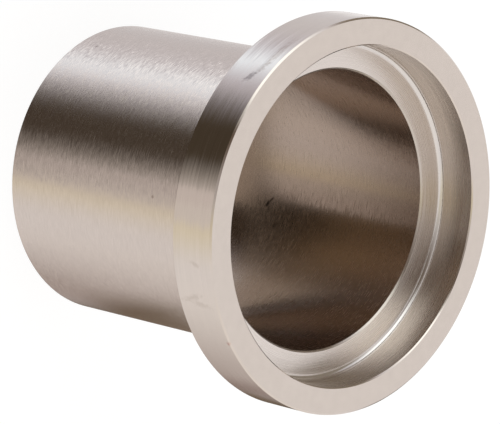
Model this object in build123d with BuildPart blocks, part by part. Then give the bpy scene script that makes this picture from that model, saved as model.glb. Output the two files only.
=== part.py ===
# Sanitary weld ferrule, female: a short length of tube with a thick clamp flange at one end,
# turned in one piece. The flange face is counterbored to take the mating ferrule and its gasket.
# The axis is +Z. The weld end stands on z = 0 and the flange face looks up.

import os
from math import radians, tan

from build123d import *

# Driving sizes, in millimetres
tube_diameter = 63.5  # outside of the weld tube, the 2 1/2 inch size
tube_wall = 1.65  # wall at the butt weld, 0.065 inch
overall_length = 73.0  # weld end to flange face
seat_width = 6.15  # gasket seat, from the bore to the recess wall
recess_depth = 9.3  # flange face down to the seat
rim_wall = 5.9  # flange metal outside the recess
seat_backing = 1.9  # straight stretch of the rim below the seat
shoulder_angle = 20.0  # degrees that the clamp shoulder leans from the plane of the face
shoulder_root_radius = 1.0
seat_corner_radius = 1.25

# Edge breaks, in millimetres
rim_front_break = 0.35
rim_back_break = 0.25
recess_mouth_break = 0.25
bore_mouth_break = 0.35
weld_end_break = 0.15  # the weld end is cut square and only deburred

# Sizes that follow
tube_radius = tube_diameter / 2
bore_radius = tube_radius - tube_wall
recess_radius = bore_radius + seat_width
flange_radius = recess_radius + rim_wall
seat_height = overall_length - recess_depth
rim_bottom = seat_height - seat_backing
shoulder_bottom = rim_bottom - (flange_radius - tube_radius) * tan(radians(shoulder_angle))


def ring_edge(part, radius, height):
    """The one round edge of the part with this radius, at this height on the axis."""
    close = 1e-4
    return (
        part.edges()
        .filter_by(GeomType.CIRCLE)
        .filter_by(lambda edge: abs(edge.radius - radius) < close)
        .filter_by(lambda edge: abs(edge.arc_center.Z - height) < close)
    )


with BuildPart() as weld_ferrule:
    # Half section of the turned blank, solid down to the axis
    with BuildSketch(Plane.XZ):
        with BuildLine():
            Polyline(
                (0, 0),
                (tube_radius, 0),
                (tube_radius, shoulder_bottom),
                (flange_radius, rim_bottom),
                (flange_radius, overall_length),
                (0, overall_length),
                close=True,
            )
        make_face()
    revolve(axis=Axis.Z)

    # Flow bore and gasket recess, bored from the flange face
    with Locations((0, 0, overall_length)):
        CounterBoreHole(
            radius=bore_radius,
            counter_bore_radius=recess_radius,
            counter_bore_depth=recess_depth,
        )

    # Radii left by the turning tool in the two inside corners
    fillet(ring_edge(weld_ferrule, recess_radius, seat_height), seat_corner_radius)
    fillet(ring_edge(weld_ferrule, tube_radius, shoulder_bottom), shoulder_root_radius)

    # Broken edges
    chamfer(ring_edge(weld_ferrule, flange_radius, overall_length), rim_front_break)
    chamfer(ring_edge(weld_ferrule, flange_radius, rim_bottom), rim_back_break)
    chamfer(ring_edge(weld_ferrule, recess_radius, overall_length), recess_mouth_break)
    chamfer(ring_edge(weld_ferrule, bore_radius, seat_height), bore_mouth_break)
    for weld_edge_radius in (tube_radius, bore_radius):
        chamfer(ring_edge(weld_ferrule, weld_edge_radius, 0), weld_end_break)

weld_ferrule.part.label = "weld_ferrule"

os.makedirs("parts", exist_ok=True)
export_step(weld_ferrule.part, "parts/weld_ferrule.step")
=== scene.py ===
# Looks for a sanitary weld ferrule: a tube stub with a thick clamp flange, turned from one piece.
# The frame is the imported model, in metres: the weld end stands on z = 0 and the flange face looks up.
from math import atan2, cos, pi, radians, sin

import bpy
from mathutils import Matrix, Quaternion, Vector


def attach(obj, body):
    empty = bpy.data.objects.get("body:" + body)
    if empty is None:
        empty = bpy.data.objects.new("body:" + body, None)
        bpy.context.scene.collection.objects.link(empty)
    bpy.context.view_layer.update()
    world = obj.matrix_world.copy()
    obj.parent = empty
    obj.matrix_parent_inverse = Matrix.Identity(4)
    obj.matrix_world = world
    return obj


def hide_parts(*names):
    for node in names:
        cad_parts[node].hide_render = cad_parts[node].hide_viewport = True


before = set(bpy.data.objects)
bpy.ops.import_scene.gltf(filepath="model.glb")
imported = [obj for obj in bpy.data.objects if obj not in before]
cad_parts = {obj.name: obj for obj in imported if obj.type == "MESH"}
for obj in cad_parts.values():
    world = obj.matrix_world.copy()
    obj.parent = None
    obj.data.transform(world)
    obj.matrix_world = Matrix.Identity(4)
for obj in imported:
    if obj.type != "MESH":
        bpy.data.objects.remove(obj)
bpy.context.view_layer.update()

mm = 0.001
toDegrees = 180 / pi
scene = bpy.context.scene
scene.view_settings.view_transform = "Standard"


# helpers for nodes, materials and objects

def feed(tree, socket, value):
    # another node's output is linked to the socket, and a plain value is set on it
    if isinstance(value, bpy.types.NodeSocket):
        tree.links.new(value, socket)
    else:
        socket.default_value = value


def addNode(tree, kind, inputs=None, **settings):
    # inputs: socket name or number -> value, or the output socket to link
    node = tree.nodes.new(kind)
    for name, value in settings.items():
        setattr(node, name, value)
    for key, value in (inputs or {}).items():
        feed(tree, node.inputs[key], value)
    return node


def addSockets(tree, side, kind, *names):
    for name in names:
        tree.interface.new_socket(name=name, in_out=side, socket_type="NodeSocket" + kind)


def calc(tree, operation, *values):
    # geometry trees take this node too
    return addNode(tree, "ShaderNodeMath", dict(enumerate(values)), operation=operation).outputs[0]


def vectorCalc(tree, operation, *values, scale=None):
    node = addNode(tree, "ShaderNodeVectorMath", dict(enumerate(values)), operation=operation)
    if scale is not None:
        feed(tree, node.inputs["Scale"], scale)
    return node.outputs["Value" if operation in ("LENGTH", "DOT_PRODUCT") else "Vector"]


def fade(tree, value, empty, full, atEmpty=0, atFull=1):
    # passes softly from atEmpty, where the value is at empty, to atFull, where it is at full
    inputs = {"Value": value, "From Min": empty, "From Max": full, "To Min": atEmpty, "To Max": atFull}
    return addNode(tree, "ShaderNodeMapRange", inputs, interpolation_type="SMOOTHSTEP").outputs["Result"]


def mixColours(tree, share, under, over, blend="MIX"):
    # a Mix node's two colours are its inputs 6 and 7, and the mixed colour is its output 2
    inputs = {"Factor": share, 6: under, 7: over}
    return addNode(tree, "ShaderNodeMix", inputs, data_type="RGBA", blend_type=blend).outputs[2]


def mixShaders(tree, share, under, over):
    return addNode(tree, "ShaderNodeMixShader", {0: share, 1: under, 2: over}).outputs[0]


def emptyMaterial(name):
    material = bpy.data.materials.new(name)
    material.use_nodes = True
    material.node_tree.nodes.clear()
    return material, material.node_tree


def addObject(name, data):
    item = bpy.data.objects.new(name, data)
    scene.collection.objects.link(item)
    return item


# camera, at the photograph's angle

cameraPlace = {
    "position": (0, -0.59161, 0.61865),
    "viewLine": (0.0043, 0.7164, -0.6977),  # where the camera looks
    "imageRight": (-0.2058, 0.6834, 0.7004),
    "lens": 276.7,  # in mm, and so is the sensor's width
    "sensorWidth": 36,
    "clip": (0.01, 20),  # in metres
}


def makeCamera():
    data = bpy.data.cameras.new("camera")
    data.sensor_width = cameraPlace["sensorWidth"]
    data.lens = cameraPlace["lens"]
    data.clip_start, data.clip_end = cameraPlace["clip"]
    camera = addObject("camera", data)
    camera.location = cameraPlace["position"]
    forward = Vector(cameraPlace["viewLine"]).normalized()
    level = forward.to_track_quat("-Z", "Y")
    right = Vector(cameraPlace["imageRight"])
    levelRight, levelUp = level @ Vector((1, 0, 0)), level @ Vector((0, 1, 0))
    roll = atan2(right.dot(levelUp), right.dot(levelRight))
    camera.rotation_mode = "QUATERNION"
    camera.rotation_quaternion = level @ Quaternion((0, 0, 1), roll)
    scene.camera = camera


makeCamera()
print("camera made")


# studio: a white backdrop all round, with darker and brighter panels before it that the metal reflects

# Azimuth is where a panel stands, in degrees: 0 behind the camera, 90 at -X, -90 at +X, 180 across.
# Lowest and highest are elevations, and past 90 degrees either way a panel has no edge there.
# Sides and ends fade over their softness, half inside and half outside; a later panel covers an earlier one.
studio = {
    "backdrop": (0.94, 0.92, 0.92),
    "panels": {
        "shadeSide": {"azimuth": -130, "halfWidth": 27, "sideSoftness": 84, "lowest": -120, "highest": -30,
                      "endSoftness": 17, "colour": (0.15, 0.06, 0.03)},
        "backShade": {"azimuth": -166, "halfWidth": 11, "sideSoftness": 14, "lowest": -120, "highest": -14,
                      "endSoftness": 12, "colour": (0.14, 0.11, 0.08)},
        "farSide": {"azimuth": 115, "halfWidth": 40, "sideSoftness": 16, "lowest": -120, "highest": -18,
                    "endSoftness": 40, "colour": (0.75, 0.73, 0.75)},
        "warmStrip": {"azimuth": -25, "halfWidth": 10, "sideSoftness": 31, "lowest": -120, "highest": 63,
                      "endSoftness": 25, "colour": (0.88, 0.81, 0.62)},
        "halfShade": {"azimuth": -7, "halfWidth": 17, "sideSoftness": 8, "lowest": -120, "highest": -2,
                      "endSoftness": 19, "colour": (0.81, 0.76, 0.72)},
        "darkGap": {"azimuth": 34, "halfWidth": 32, "sideSoftness": 32, "lowest": -120, "highest": 5,
                    "endSoftness": 44, "colour": (0.07, 0.054, 0.037)},
        "shadeEdge": {"azimuth": -7.3, "halfWidth": 4.8, "sideSoftness": 2.5, "lowest": -120, "highest": -2,
                      "endSoftness": 19, "colour": (0.76, 0.70, 0.67)},
        "keyEdge": {"azimuth": 81, "halfWidth": 25, "sideSoftness": 42, "lowest": -120, "highest": 38,
                    "endSoftness": 17, "colour": (0.71, 0.70, 0.79)},
        "keyCard": {"azimuth": 83, "halfWidth": 6, "sideSoftness": 29, "lowest": -120, "highest": 24,
                    "endSoftness": 31, "colour": (1.32, 1.50, 1.66)},
        "upperSide": {"azimuth": -98, "halfWidth": 37, "sideSoftness": 20, "lowest": -43, "highest": 120,
                      "endSoftness": 14, "colour": (1.00, 0.97, 0.94)},
        "cameraSide": {"azimuth": 42, "halfWidth": 43, "sideSoftness": 92, "lowest": 21, "highest": 120,
                       "endSoftness": 16, "colour": (0.09, 0.05, 0.02)},
        "keySoftbox": {"azimuth": 71, "halfWidth": 24, "sideSoftness": 32, "lowest": -38, "highest": 49,
                       "endSoftness": 9, "colour": (1.64, 1.70, 1.70)},
        "upperDark": {"azimuth": 130, "halfWidth": 21, "sideSoftness": 11, "lowest": -16, "highest": 50,
                      "endSoftness": 6, "colour": (0.27, 0.23, 0.18)},
        "underside": {"azimuth": 24, "halfWidth": 49, "sideSoftness": 14, "lowest": -140, "highest": -52,
                      "endSoftness": 11, "colour": (0.07, 0.05, 0.04)},
    },
    "cameraWhite": (1, 1, 1),
}


def makePanelGroup():
    group = bpy.data.node_groups.new("softPanel", "ShaderNodeTree")
    addSockets(group, "INPUT", "Float", "Azimuth", "Elevation", "Centre", "Half Width", "Side Softness",
               "Lowest", "Highest", "End Softness")
    addSockets(group, "INPUT", "Color", "Under", "Colour")
    addSockets(group, "OUTPUT", "Color", "Colour")
    given = addNode(group, "NodeGroupInput").outputs
    away = calc(group, "SUBTRACT", given["Azimuth"], given["Centre"])
    away = calc(group, "PINGPONG", away, 180)  # degrees from the panel's middle, either way round

    def softEdge(value, edge, softness, rising):
        half = calc(group, "MULTIPLY", softness, 0.5)
        low, high = calc(group, "SUBTRACT", edge, half), calc(group, "ADD", edge, half)
        return fade(group, value, low, high) if rising else fade(group, value, high, low)

    sides = softEdge(away, given["Half Width"], given["Side Softness"], False)
    bottom = softEdge(given["Elevation"], given["Lowest"], given["End Softness"], True)
    top = softEdge(given["Elevation"], given["Highest"], given["End Softness"], False)
    share = calc(group, "MULTIPLY", sides, calc(group, "MULTIPLY", bottom, top))
    addNode(group, "NodeGroupOutput", {0: mixColours(group, share, given["Under"], given["Colour"])})
    return group


def makeStudio():
    world = bpy.data.worlds.new("studio")
    scene.world = world
    world.use_nodes = True
    tree = world.node_tree
    tree.nodes.clear()
    direction = addNode(tree, "ShaderNodeTexCoord").outputs["Generated"]
    parts = addNode(tree, "ShaderNodeSeparateXYZ", {0: direction}).outputs
    minusX, minusY = calc(tree, "MULTIPLY", parts["X"], -1), calc(tree, "MULTIPLY", parts["Y"], -1)
    azimuth = calc(tree, "MULTIPLY", calc(tree, "ARCTAN2", minusX, minusY), toDegrees)
    elevation = calc(tree, "MULTIPLY", calc(tree, "ARCSINE", parts["Z"]), toDegrees)
    group = makePanelGroup()
    colour = (*studio["backdrop"], 1)
    for name, look in studio["panels"].items():
        values = {"Azimuth": azimuth, "Elevation": elevation, "Centre": look["azimuth"],
                  "Half Width": look["halfWidth"], "Side Softness": look["sideSoftness"],
                  "Lowest": look["lowest"], "Highest": look["highest"], "End Softness": look["endSoftness"],
                  "Under": colour, "Colour": (*look["colour"], 1)}
        colour = addNode(tree, "ShaderNodeGroup", values, node_tree=group, name=name, label=name).outputs[0]
    # the camera sees plain white; all other rays, glossy and transmission ones too, see the white backdrop
    # with the panels before it
    seen = addNode(tree, "ShaderNodeBackground", {"Color": (*studio["cameraWhite"], 1)})
    lit = addNode(tree, "ShaderNodeBackground", {"Color": colour})
    isCamera = addNode(tree, "ShaderNodeLightPath").outputs["Is Camera Ray"]
    surface = mixShaders(tree, isCamera, lit.outputs[0], seen.outputs[0])
    addNode(tree, "ShaderNodeOutputWorld", {"Surface": surface})


makeStudio()
print("studio made,", len(studio["panels"]), "panels")


# floor, white to the camera with the ferrule's faint shadow

floorLook = {
    "size": 3.0,
    "shadowShare": 0.22,  # how much of the floor's white comes from the light that a shadow takes away
    "glow": 0.86,
    "bounce": 0.8,  # its grey for every ray but the camera's
}


def makeFloor():
    half = floorLook["size"] / 2
    mesh = bpy.data.meshes.new("floor")
    corners = [(-half, -half, 0), (half, -half, 0), (half, half, 0), (-half, half, 0)]
    mesh.from_pydata(corners, [], [(0, 1, 2, 3)])
    floor = addObject("floor", mesh)
    material, tree = emptyMaterial("whiteFloor")
    share, bounce = floorLook["shadowShare"], floorLook["bounce"]
    shaded = addNode(tree, "ShaderNodeBsdfDiffuse", {"Color": (share, share, share, 1)})
    glow = addNode(tree, "ShaderNodeEmission", {"Strength": floorLook["glow"]})
    seen = addNode(tree, "ShaderNodeAddShader", {0: shaded.outputs[0], 1: glow.outputs[0]})
    plain = addNode(tree, "ShaderNodeBsdfDiffuse", {"Color": (bounce, bounce, bounce, 1)})
    isCamera = addNode(tree, "ShaderNodeLightPath").outputs["Is Camera Ray"]
    surface = mixShaders(tree, isCamera, plain.outputs[0], seen.outputs[0])
    addNode(tree, "ShaderNodeOutputMaterial", {"Surface": surface})
    mesh.materials.append(material)
    floor.visible_glossy = False  # the metal reflects the studio's panels and not the floor


makeFloor()
print("floor made")


# cards just under the floor's plane, which glow with painted light and shade and show only where the metal
# reflects them; corners in mm
# one with an arc runs on from its last corner round that circle, counter-clockwise, to its first
# one with fades comes up between the first two places on an axis and goes between the last two

nearCards = {
    "height": -0.5,  # in mm; the metal doesn't reflect the floor above them
    "arcSteps": 24,
    "cards": {
        # painted reflected shade: a dark glowing sheet that the tube reflects, darkening its underside
        # towards the flange
        "shadeBesideTube": {"corners": [(30, -20), (90, -20), (90, 85), (30, 85)], "colour": (0.17, 0.12, 0.08),
                       "fades": {"X": (31, 42, 62, 88), "Y": (-14, 12, 48, 82)}},
        # painted reflected light and shade inside the bore: the dark cards stand in for shade under the open
        # end, the pale ones for lit floor
        "boreRing": {"corners": [(-29, -7.8), (-26.1, -7), (-26.9, -2.4), (-26.6, 4.7), (-24.5, 11.4),
                                 (-20.7, 17.4), (-15.5, 22.1), (-9.2, 25.4), (-2.4, 26.9), (-2.6, 29.9)],
                     "arc": 30, "height": -0.4, "colour": (0.03, 0.022, 0.016)},  # it lies over the others
        "boreCore": {"corners": [(0.5, -17), (1.2, 23), (0, 15), (-2, 13.8), (-8, 13), (-8, -17)],
                     "colour": (0.02, 0.015, 0.01)},
        "boreSide": {"corners": [(-8, -17), (-8, 13), (-13, 12.2), (-13, -13)], "colour": (0.07, 0.05, 0.03)},
        "boreLeft": {"corners": [(-28.9, -8), (-13, -8), (-13, 12.2), (-28.9, 8)],
                     "colour": (0.19, 0.14, 0.09)},
        "boreLow": {"corners": [(0.5, -30), (0.5, -17), (-8, -17), (-13, -13), (-13, -8), (-28.9, -8)],
                    "arc": 30, "colour": (0.36, 0.255, 0.145)},
        "boreUpper": {"corners": [(-28.9, 8), (-14, 12), (-8, 13), (-2, 13.8), (0, 15), (1.2, 23), (1, 30)],
                      "arc": 30, "colour": (0.52, 0.46, 0.40)},
    },
}


def makeCard(name):
    look = nearCards["cards"][name]
    corners = list(look["corners"])
    if "arc" in look:
        steps, reach = nearCards["arcSteps"], look["arc"]
        start, end = (atan2(y, x) for x, y in (corners[-1], corners[0]))
        turn = (end - start) % (2 * pi)
        angles = [start + turn * step / steps for step in range(1, steps)]
        corners += [(reach * cos(angle), reach * sin(angle)) for angle in angles]
    height = look.get("height", nearCards["height"])
    mesh = bpy.data.meshes.new(name)
    mesh.from_pydata([(x * mm, y * mm, height * mm) for x, y in corners], [], [tuple(range(len(corners)))])
    card = addObject(name, mesh)
    material, tree = emptyMaterial(name)
    # the card glows with its colour: painted reflected shade for the dark cards, painted reflected light for
    # the pale ones
    surface = addNode(tree, "ShaderNodeEmission", {"Color": (*look["colour"], 1)}).outputs[0]
    place = addNode(tree, "ShaderNodeTexCoord").outputs["Object"]
    parts = addNode(tree, "ShaderNodeSeparateXYZ", {0: place}).outputs
    for axis, (enter, full, leave, gone) in look.get("fades", {}).items():
        for clearAt, solidAt in ((enter, full), (gone, leave)):
            share = fade(tree, parts[axis], clearAt * mm, solidAt * mm)
            clear = addNode(tree, "ShaderNodeBsdfTransparent")
            surface = mixShaders(tree, share, clear.outputs[0], surface)
    addNode(tree, "ShaderNodeOutputMaterial", {"Surface": surface})
    mesh.materials.append(material)
    card.visible_camera = False
    card.visible_diffuse = False
    card.visible_shadow = False
    card.visible_transmission = False


for cardName in nearCards["cards"]:
    makeCard(cardName)
print("cards made:", ", ".join(nearCards["cards"]))


# metal finishes

# lineWidth is in mm and lineLength in degrees round the axis; alongTilt and acrossTilt lean the surface
# along and across the lines, bands is the share of wider lines, tint is how much a line changes the colour
# and mottle how much soft patches do
# on a calm side, up to reach degrees from an angle round the axis, the lines keep only that share of strength
finishes = {
    # its base is a little darker than the rim's steel: painted shade from the floor beside the tube
    "satinTube": {"base": (0.65, 0.575, 0.525), "roughness": 0.23, "anisotropy": 0.74, "alongTilt": 0.12,
                  "acrossTilt": 0.2, "lineWidth": 0.17, "lineLength": 4, "bands": 0.05, "tint": 0.26,
                  "mottle": 0.05, "calm": {"angle": -50, "reach": 49, "blend": 7, "share": 0.42}},
    "turnedRim": {"base": (0.68, 0.61, 0.555), "roughness": 0.13, "anisotropy": 0.28, "alongTilt": 0.075,
                  "acrossTilt": 0.03, "lineWidth": 0.3, "lineLength": 16, "bands": 0.6, "tint": 0.14,
                  "mottle": 0.04, "calm": {"angle": -62, "reach": 36, "blend": 12, "share": 0.4}},
    "turnedFace": {"base": (0.68, 0.61, 0.555), "roughness": 0.17, "anisotropy": 0.1, "alongTilt": 0.01,
                   "acrossTilt": 0.02, "lineWidth": 0.4, "lineLength": 20, "bands": 0.3, "tint": 0.03,
                   "mottle": 0.08},
    # its base is darker than the rim's steel: painted shade for the recess wall
    "turnedRecess": {"base": (0.59, 0.53, 0.475), "roughness": 0.275, "anisotropy": 0.8, "alongTilt": 0.015,
                     "acrossTilt": 0.015, "lineWidth": 0.3, "lineLength": 25, "bands": 0.4, "tint": 0.06,
                     "mottle": 0.04},
    # its base is brighter than the rim's steel: painted light on the seat down in the recess
    "satinSeat": {"base": (0.765, 0.705, 0.66), "roughness": 0.28, "anisotropy": 0.76, "alongTilt": 0.008,
                  "acrossTilt": 0.012, "lineWidth": 0.3, "lineLength": 25, "bands": 0.4, "tint": 0.035,
                  "mottle": 0.04},
    "seatCorner": {"base": (0.72, 0.68, 0.65), "roughness": 0.2, "anisotropy": 0.4, "alongTilt": 0.02,
                   "acrossTilt": 0.02, "lineWidth": 0.3, "lineLength": 25, "bands": 0.4, "tint": 0.04,
                   "mottle": 0.03},
    # its base is darker and browner than the rim's steel: painted shade for the inside of the tube
    "satinBore": {"base": (0.44, 0.35, 0.29), "roughness": 0.24, "anisotropy": 0.84, "alongTilt": 0.025,
                  "acrossTilt": 0.04, "lineWidth": 0.2, "lineLength": 4, "bands": 0.1, "tint": 0.16,
                  "mottle": 0.06},
    "facedEnd": {"base": (0.64, 0.58, 0.53), "roughness": 0.22, "anisotropy": 0.5, "alongTilt": 0.03,
                 "acrossTilt": 0.06, "lineWidth": 0.4, "lineLength": 15, "bands": 0.3, "tint": 0.15,
                 "mottle": 0.05},
}

# what all finishes share; a length or width here is times the finish's own
lineLook = {
    "shorter": {"length": 0.5, "width": 0.8, "seed": 31.7, "share": 0.7},
    "wider": {"length": 2.5, "width": 5, "seed": 7.3},
    "radiusShare": 1.7,  # lines go by height plus this much of the radius, so walls and flats both get them
    "mottleScale": 450,  # per metre
    "roughening": 0.15,  # how much rougher a bright line is
}

# small stains, each a soft spot: angle in degrees from +X round the axis, height, length and width in mm,
# tilt in degrees of the length from the ring's direction up the axis, colour that multiplies the metal's
marks = {
    "satinBore": [
        {"angle": 88.0, "height": 18.1, "length": 1.6, "width": 0.75, "tilt": 30,
         "colour": (0.12, 0.10, 0.10)},
        {"angle": 90.0, "height": 19.0, "length": 1.5, "width": 0.5, "tilt": 46,
         "colour": (0.35, 0.30, 0.28)},
    ],
    "turnedRim": [
        {"angle": -124.3, "height": 68.5, "length": 3.0, "width": 1.6, "tilt": 150,
         "colour": (0.58, 0.57, 0.58)},
        {"angle": -128.0, "height": 69.6, "length": 4.5, "width": 1.6, "tilt": 165,
         "colour": (0.82, 0.80, 0.79)},
        {"angle": -134.5, "height": 70.4, "length": 9.0, "width": 1.8, "tilt": 178,
         "colour": (0.82, 0.79, 0.77)},
        {"angle": -57.1, "height": 65.9, "length": 5.6, "width": 1.2, "tilt": 108,
         "colour": (0.88, 0.87, 0.86)},
        {"angle": -55.5, "height": 68.1, "length": 5.4, "width": 1.2, "tilt": 83,
         "colour": (0.90, 0.89, 0.88)},
        {"angle": -67.5, "height": 68.1, "length": 2.2, "width": 1.0, "tilt": 76,
         "colour": (0.89, 0.88, 0.87)},
        {"angle": -43.4, "height": 72.4, "length": 1.2, "width": 0.8, "tilt": 0,
         "colour": (0.80, 0.62, 0.58)},
    ],
    "satinTube": [
        {"angle": -141.6, "height": 6.0, "length": 0.9, "width": 0.8, "tilt": 0,
         "colour": (0.62, 0.60, 0.60)},
        {"angle": -81.8, "height": 44.4, "length": 0.8, "width": 0.7, "tilt": 30,
         "colour": (0.70, 0.66, 0.64)},
    ],
}

# how the spots fade at their edges
markEdge = {
    "gone": 1.5,  # in half lengths and half widths from the mark's middle
    "full": 0.3,
    "raggedness": 2,
    "raggedScale": 1500,  # per metre
}


def makeMarkGroup():
    group = bpy.data.node_groups.new("softMark", "ShaderNodeTree")
    addSockets(group, "INPUT", "Float", "X", "Y", "Z", "Radius", "Ragged", "Angle", "Height", "Length",
               "Width", "Tilt")
    addSockets(group, "INPUT", "Color", "Under", "Colour")
    addSockets(group, "OUTPUT", "Color", "Colour")
    given = addNode(group, "NodeGroupInput").outputs

    def times(first, second):
        return calc(group, "MULTIPLY", first, second)

    turn = calc(group, "RADIANS", given["Angle"])
    turned = calc(group, "SUBTRACT", calc(group, "ARCTAN2", given["Y"], given["X"]), turn)
    away = times(calc(group, "WRAP", turned, pi, -pi), given["Radius"])
    climb = calc(group, "SUBTRACT", given["Z"], given["Height"])
    tilt = calc(group, "RADIANS", given["Tilt"])
    east, north = calc(group, "COSINE", tilt), calc(group, "SINE", tilt)
    along = calc(group, "ADD", times(away, east), times(climb, north))
    across = calc(group, "SUBTRACT", times(climb, east), times(away, north))
    along = calc(group, "DIVIDE", along, times(given["Length"], 0.5))
    across = calc(group, "DIVIDE", across, times(given["Width"], 0.5))
    reach = calc(group, "SQRT", calc(group, "ADD", times(along, along), times(across, across)))
    reach = calc(group, "ADD", reach, given["Ragged"])
    share = fade(group, reach, markEdge["gone"], markEdge["full"])
    mixed = mixColours(group, share, given["Under"], given["Colour"], "MULTIPLY")
    addNode(group, "NodeGroupOutput", {0: mixed})
    return group


markGroup = makeMarkGroup()


def addMarks(tree, name, colour, place, parts, radius):
    scale = markEdge["raggedScale"]
    noise = addNode(tree, "ShaderNodeTexNoise", {"Vector": place, "Scale": scale, "Detail": 3})
    ragged = calc(tree, "SUBTRACT", noise.outputs[0], 0.5)
    ragged = calc(tree, "MULTIPLY", ragged, markEdge["raggedness"])
    # X and Y only give a direction, so they stay in metres
    shared = {"X": parts["X"], "Y": parts["Y"], "Ragged": ragged, "Z": calc(tree, "DIVIDE", parts["Z"], mm),
              "Radius": calc(tree, "DIVIDE", radius, mm)}
    for mark in marks[name]:
        values = {**shared, "Angle": mark["angle"], "Height": mark["height"], "Length": mark["length"],
                  "Width": mark["width"], "Tilt": mark["tilt"], "Under": colour,
                  "Colour": (*mark["colour"], 1)}
        colour = addNode(tree, "ShaderNodeGroup", values, node_tree=markGroup).outputs[0]
    return colour


def makeMetal(name):
    # lines that run round the axis: noise on the direction from the axis and on a climb of height and radius
    look = finishes[name]
    material, tree = emptyMaterial(name)
    place = addNode(tree, "ShaderNodeTexCoord").outputs["Object"]
    parts = addNode(tree, "ShaderNodeSeparateXYZ", {0: place}).outputs
    flat = addNode(tree, "ShaderNodeCombineXYZ", {0: parts["X"], 1: parts["Y"]}).outputs[0]
    radius = vectorCalc(tree, "LENGTH", flat)
    outward = vectorCalc(tree, "NORMALIZE", flat)
    alongLines = vectorCalc(tree, "CROSS_PRODUCT", (0, 0, 1), outward)
    climb = calc(tree, "MULTIPLY_ADD", radius, lineLook["radiusShare"], parts["Z"])

    def lines(length, width, seed, detail=0):
        ring = vectorCalc(tree, "SCALE", outward, scale=toDegrees / length)
        height = calc(tree, "MULTIPLY_ADD", climb, 1 / (width * mm), seed)
        point = vectorCalc(tree, "ADD", ring, addNode(tree, "ShaderNodeCombineXYZ", {2: height}).outputs[0])
        noise = addNode(tree, "ShaderNodeTexNoise", {"Vector": point, "Scale": 1, "Detail": detail})
        return calc(tree, "SUBTRACT", noise.outputs[0], 0.5)

    length, width = look["lineLength"], look["lineWidth"]
    shorter, wider = lineLook["shorter"], lineLook["wider"]
    long = lines(length, width, 0)
    short = lines(length * shorter["length"], width * shorter["width"], shorter["seed"])
    wide = lines(length * wider["length"], width * wider["width"], wider["seed"], detail=1)
    line = calc(tree, "MULTIPLY_ADD", short, shorter["share"], long)
    line = calc(tree, "MULTIPLY_ADD", wide, look["bands"], line)
    if "calm" in look:
        calm = look["calm"]
        middle = (cos(radians(calm["angle"])), sin(radians(calm["angle"])), 0)
        toward = vectorCalc(tree, "DOT_PRODUCT", outward, middle)
        outer = cos(radians(calm["reach"] + calm["blend"]))
        inner = cos(radians(calm["reach"] - calm["blend"]))
        strength = fade(tree, toward, outer, inner, atEmpty=1, atFull=calm["share"])
        line, short = calc(tree, "MULTIPLY", line, strength), calc(tree, "MULTIPLY", short, strength)
    scale = lineLook["mottleScale"]
    blotch = addNode(tree, "ShaderNodeTexNoise", {"Vector": place, "Scale": scale, "Detail": 2})
    blotch = calc(tree, "SUBTRACT", blotch.outputs[0], 0.5)
    normal = addNode(tree, "ShaderNodeNewGeometry").outputs["Normal"]
    acrossLines = vectorCalc(tree, "CROSS_PRODUCT", normal, alongLines)
    lean = vectorCalc(tree, "SCALE", alongLines, scale=calc(tree, "MULTIPLY", line, look["alongTilt"]))
    rise = vectorCalc(tree, "SCALE", acrossLines, scale=calc(tree, "MULTIPLY", short, look["acrossTilt"]))
    bent = vectorCalc(tree, "ADD", vectorCalc(tree, "ADD", normal, lean), rise)
    bent = vectorCalc(tree, "NORMALIZE", bent)
    light = calc(tree, "MULTIPLY_ADD", blotch, look["mottle"], 1)
    light = calc(tree, "MULTIPLY_ADD", line, look["tint"], light)
    colour = vectorCalc(tree, "SCALE", look["base"], scale=light)
    if name in marks:
        colour = addMarks(tree, name, colour, place, parts, radius)
    rough = calc(tree, "MULTIPLY_ADD", line, lineLook["roughening"], look["roughness"])
    tangent = addNode(tree, "ShaderNodeTangent", direction_type="RADIAL", axis="Z")
    # the gloss is turned by a quarter from the ring's direction
    shader = addNode(tree, "ShaderNodeBsdfPrincipled", {
        "Base Color": colour, "Metallic": 1, "Roughness": rough, "Anisotropic": look["anisotropy"],
        "Anisotropic Rotation": 0.25, "Normal": bent, "Tangent": tangent.outputs[0]})
    addNode(tree, "ShaderNodeOutputMaterial", {"Surface": shader.outputs[0]})
    return material


metals = {name: makeMetal(name) for name in finishes}
print("finishes made:", ", ".join(metals))


# the ferrule, its half section swept round the axis

ferrule = {
    "Bore Radius": 30.1 * mm,
    "Tube Radius": 31.75 * mm,
    "Recess Radius": 36.25 * mm,
    "Flange Radius": 42.15 * mm,
    "Overall Length": 73.0 * mm,
    "Seat Height": 63.7 * mm,
    "Rim Bottom": 61.8 * mm,
    "Shoulder Bottom": 58.015 * mm,
    "Weld End Break": 0.15 * mm,
    "Shoulder Root": 1.0 * mm,
    "Rim Back Break": 0.25 * mm,
    "Rim Front Break": 0.35 * mm,
    "Recess Mouth Break": 0.25 * mm,
    "Seat Corner": 1.25 * mm,
    "Bore Mouth Break": 0.35 * mm,
    "Largest Break": 0.5 * mm,  # up to this an edge is cut straight, and past it it is a radius
    "Support": 0.25 * mm,  # from the end of a break to the next point on the flat
    "Radius Steps": 10,
    "Segments": 384,
}

# the section's corners, counter-clockwise from the weld end's inner edge: radius, height, rounding
sectionCorners = [
    ("Bore Radius", None, "Weld End Break"),
    ("Tube Radius", None, "Weld End Break"),
    ("Tube Radius", "Shoulder Bottom", "Shoulder Root"),
    ("Flange Radius", "Rim Bottom", "Rim Back Break"),
    ("Flange Radius", "Overall Length", "Rim Front Break"),
    ("Recess Radius", "Overall Length", "Recess Mouth Break"),
    ("Recess Radius", "Seat Height", "Seat Corner"),
    ("Bore Radius", "Seat Height", "Bore Mouth Break"),
]

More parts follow.
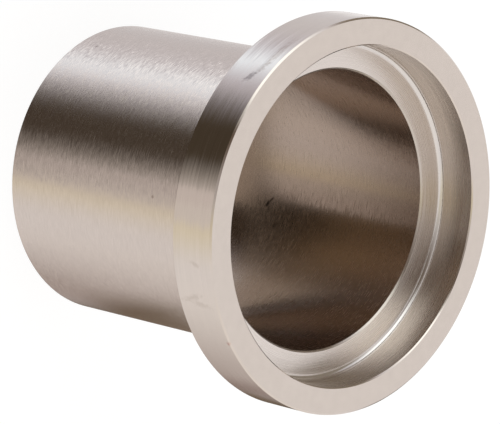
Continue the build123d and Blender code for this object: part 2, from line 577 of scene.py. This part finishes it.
# where one finish ends and the next begins, from the section's own sizes
zoneLimits = {
    "margin": 0.02 * mm,
    "underSeat": 0.5 * mm,  # the recess takes in the broken edge of the bore
    "cornerHeight": 1.3 * mm,  # above the seat
    "cornerFromBore": 2 * mm,
    "endHeight": 0.1 * mm,
    "seatFacing": 0.9,  # facing is the upward part of the surface's direction
    "cornerFacing": (0.1, 0.97),
    "faceFacing": 0.98,
}

crispAngle = 15  # degrees; an edge that turns by more is shaded crisp


def switchNode(tree, dataType, index, values):
    node = addNode(tree, "GeometryNodeIndexSwitch", data_type=dataType)
    while len(node.index_switch_items) < len(values):
        node.index_switch_items.new()
    for number, value in enumerate([index, *values]):
        feed(tree, node.inputs[number], value)
    return node.outputs[0]


def makeCornerGroup():
    # gives the place and the rounding of one corner of the section by its number
    # a place is how far out from the tube's radius, and how far down, as the sweep lays its profile
    group = bpy.data.node_groups.new("sectionCorner", "GeometryNodeTree")
    sizes = sorted({name for corner in sectionCorners for name in corner if name})
    addSockets(group, "INPUT", "Float", *sizes)
    addSockets(group, "INPUT", "Int", "Index")
    addSockets(group, "OUTPUT", "Vector", "Place")
    addSockets(group, "OUTPUT", "Float", "Rounding")
    given = addNode(group, "NodeGroupInput").outputs
    places, roundings = [], []
    for radiusName, heightName, roundingName in sectionCorners:
        out = calc(group, "SUBTRACT", given[radiusName], given["Tube Radius"])
        down = calc(group, "MULTIPLY", given[heightName], -1) if heightName else 0
        places.append(addNode(group, "ShaderNodeCombineXYZ", {0: out, 1: down}).outputs[0])
        roundings.append(given[roundingName])
    place = switchNode(group, "VECTOR", given["Index"], places)
    rounding = switchNode(group, "FLOAT", given["Index"], roundings)
    addNode(group, "NodeGroupOutput", {"Place": place, "Rounding": rounding})
    return group, sizes


def makeFerruleTree():
    tree = bpy.data.node_groups.new("sweptSection", "GeometryNodeTree")
    addSockets(tree, "INPUT", "Geometry", "Geometry")
    for name, value in ferrule.items():
        addSockets(tree, "INPUT", "Int" if isinstance(value, int) else "Float", name)
    addSockets(tree, "OUTPUT", "Geometry", "Geometry")
    given = addNode(tree, "NodeGroupInput").outputs
    cornerGroup, sizes = makeCornerGroup()
    cornerCount = len(sectionCorners)
    supports = 2

    def corner(index):
        values = {name: given[name] for name in sizes}
        node = addNode(tree, "GeometryNodeGroup", {**values, "Index": index}, node_tree=cornerGroup)
        return node.outputs["Place"], node.outputs["Rounding"]

    # corners, and two support points on the side after each, so that flats stay flat beside rounded edges
    line = addNode(tree, "GeometryNodeMeshLine", {"Count": cornerCount}).outputs[0]
    outline = addNode(tree, "GeometryNodeMeshToCurve", {0: line}).outputs[0]
    outline = addNode(tree, "GeometryNodeSetSplineCyclic", {"Geometry": outline, "Cyclic": True}).outputs[0]
    outline = addNode(tree, "GeometryNodeSubdivideCurve", {"Curve": outline, "Cuts": supports}).outputs[0]
    index = addNode(tree, "GeometryNodeInputIndex").outputs[0]
    step = calc(tree, "MODULO", index, supports + 1)
    first = calc(tree, "FLOOR", calc(tree, "DIVIDE", index, supports + 1))
    second = calc(tree, "MODULO", calc(tree, "ADD", first, 1), cornerCount)
    (fromPlace, fromRound), (toPlace, toRound) = corner(first), corner(second)
    along = vectorCalc(tree, "NORMALIZE", vectorCalc(tree, "SUBTRACT", toPlace, fromPlace))
    leave = vectorCalc(tree, "SCALE", along, scale=calc(tree, "ADD", fromRound, given["Support"]))
    arrive = vectorCalc(tree, "SCALE", along, scale=calc(tree, "ADD", toRound, given["Support"]))
    afterCorner = vectorCalc(tree, "ADD", fromPlace, leave)
    beforeCorner = vectorCalc(tree, "SUBTRACT", toPlace, arrive)
    place = switchNode(tree, "VECTOR", step, [fromPlace, afterCorner, beforeCorner])
    outline = addNode(tree, "GeometryNodeSetPosition", {"Geometry": outline, "Position": place}).outputs[0]
    isCorner = calc(tree, "LESS_THAN", step, 0.5)
    rounding = calc(tree, "MULTIPLY", fromRound, isCorner)
    isRadius = calc(tree, "GREATER_THAN", rounding, given["Largest Break"])
    steps = calc(tree, "MULTIPLY_ADD", isRadius, given["Radius Steps"], 1)
    outline = addNode(tree, "GeometryNodeFilletCurve", {"Curve": outline, "Count": steps, "Radius": rounding},
                      mode="POLY").outputs[0]
    ring = addNode(tree, "GeometryNodeCurvePrimitiveCircle", {"Resolution": given["Segments"],
                                                              "Radius": given["Tube Radius"]}).outputs[0]
    ring = addNode(tree, "GeometryNodeSetCurveNormal", {"Curve": ring}, mode="Z_UP").outputs[0]
    shape = addNode(tree, "GeometryNodeCurveToMesh", {"Curve": ring, "Profile Curve": outline}).outputs[0]
    shape = addNode(tree, "GeometryNodeFlipFaces", {"Mesh": shape}).outputs[0]  # the sweep faces them inwards
    shape = addNode(tree, "GeometryNodeSetShadeSmooth", {"Geometry": shape}).outputs[0]
    angle = addNode(tree, "GeometryNodeInputMeshEdgeAngle").outputs["Unsigned Angle"]
    crisp = calc(tree, "GREATER_THAN", angle, radians(crispAngle))
    shape = addNode(tree, "GeometryNodeSetShadeSmooth", {"Geometry": shape, "Selection": crisp,
                                                         "Shade Smooth": False}, domain="EDGE").outputs[0]

    # finishes by place: distance from the axis, height, and which way the surface faces
    spot = addNode(tree, "GeometryNodeInputPosition").outputs[0]
    spotParts = addNode(tree, "ShaderNodeSeparateXYZ", {0: spot}).outputs
    flat = addNode(tree, "ShaderNodeCombineXYZ", {0: spotParts["X"], 1: spotParts["Y"]}).outputs[0]
    radius, height = vectorCalc(tree, "LENGTH", flat), spotParts["Z"]
    normal = addNode(tree, "GeometryNodeInputNormal").outputs[0]
    facing = addNode(tree, "ShaderNodeSeparateXYZ", {0: normal}).outputs["Z"]
    margin, (leastFacing, mostFacing) = zoneLimits["margin"], zoneLimits["cornerFacing"]

    def below(value, limit, extra):
        return calc(tree, "LESS_THAN", value, calc(tree, "ADD", limit, extra))

    def above(value, limit, extra):
        return calc(tree, "GREATER_THAN", value, calc(tree, "ADD", limit, extra))

    def facesOver(limit):
        return calc(tree, "GREATER_THAN", facing, limit)

    def allOf(test, *others):
        for other in others:
            test = calc(tree, "MULTIPLY", test, other)
        return test

    inBore = below(radius, given["Bore Radius"], margin)
    inRecess = allOf(below(radius, given["Recess Radius"], margin),
                     above(height, given["Seat Height"], -zoneLimits["underSeat"]))
    onSeat = allOf(inRecess, facesOver(zoneLimits["seatFacing"]))
    onCorner = allOf(calc(tree, "LESS_THAN", facing, mostFacing), facesOver(leastFacing),
                     below(height, given["Seat Height"], zoneLimits["cornerHeight"]),
                     above(radius, given["Bore Radius"], zoneLimits["cornerFromBore"]))
    onTube = allOf(below(height, given["Rim Bottom"], -margin), above(radius, given["Tube Radius"], -margin))
    onFace = allOf(above(height, given["Overall Length"], -margin), facesOver(zoneLimits["faceFacing"]))
    onEnd = calc(tree, "LESS_THAN", height, zoneLimits["endHeight"])
    shape = addNode(tree, "GeometryNodeRealizeInstances", {"Geometry": shape}).outputs[0]
    zones = {"turnedRim": True, "satinTube": onTube, "turnedRecess": inRecess, "satinSeat": onSeat,
             "seatCorner": onCorner, "satinBore": inBore, "turnedFace": onFace, "facedEnd": onEnd}
    for name, chosen in zones.items():  # a later finish covers an earlier one
        inputs = {"Geometry": shape, "Selection": chosen, "Material": metals[name]}
        shape = addNode(tree, "GeometryNodeSetMaterial", inputs).outputs[0]
    addNode(tree, "NodeGroupOutput", {0: shape})
    return tree


def makeFerrule():
    tree = makeFerruleTree()
    holder = addObject("sectionHolder", bpy.data.meshes.new("sectionHolder"))
    modifier = holder.modifiers.new("sweptSection", "NODES")
    modifier.node_group = tree
    for item in tree.interface.items_tree:
        if item.in_out == "INPUT" and item.name in ferrule:
            modifier[item.identifier] = ferrule[item.name]
    graph = bpy.context.evaluated_depsgraph_get()
    mesh = bpy.data.meshes.new_from_object(holder.evaluated_get(graph), depsgraph=graph)
    mesh.name = "turnedFerrule"
    holder.modifiers.remove(modifier)
    bpy.data.objects.remove(holder)
    piece = addObject("turnedFerrule", mesh)
    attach(piece, "root")
    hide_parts("weld_ferrule")
    return piece


piece = makeFerrule()
print("ferrule made:", len(piece.data.vertices), "points,", len(piece.data.polygons), "faces,",
      [material.name for material in piece.data.materials])
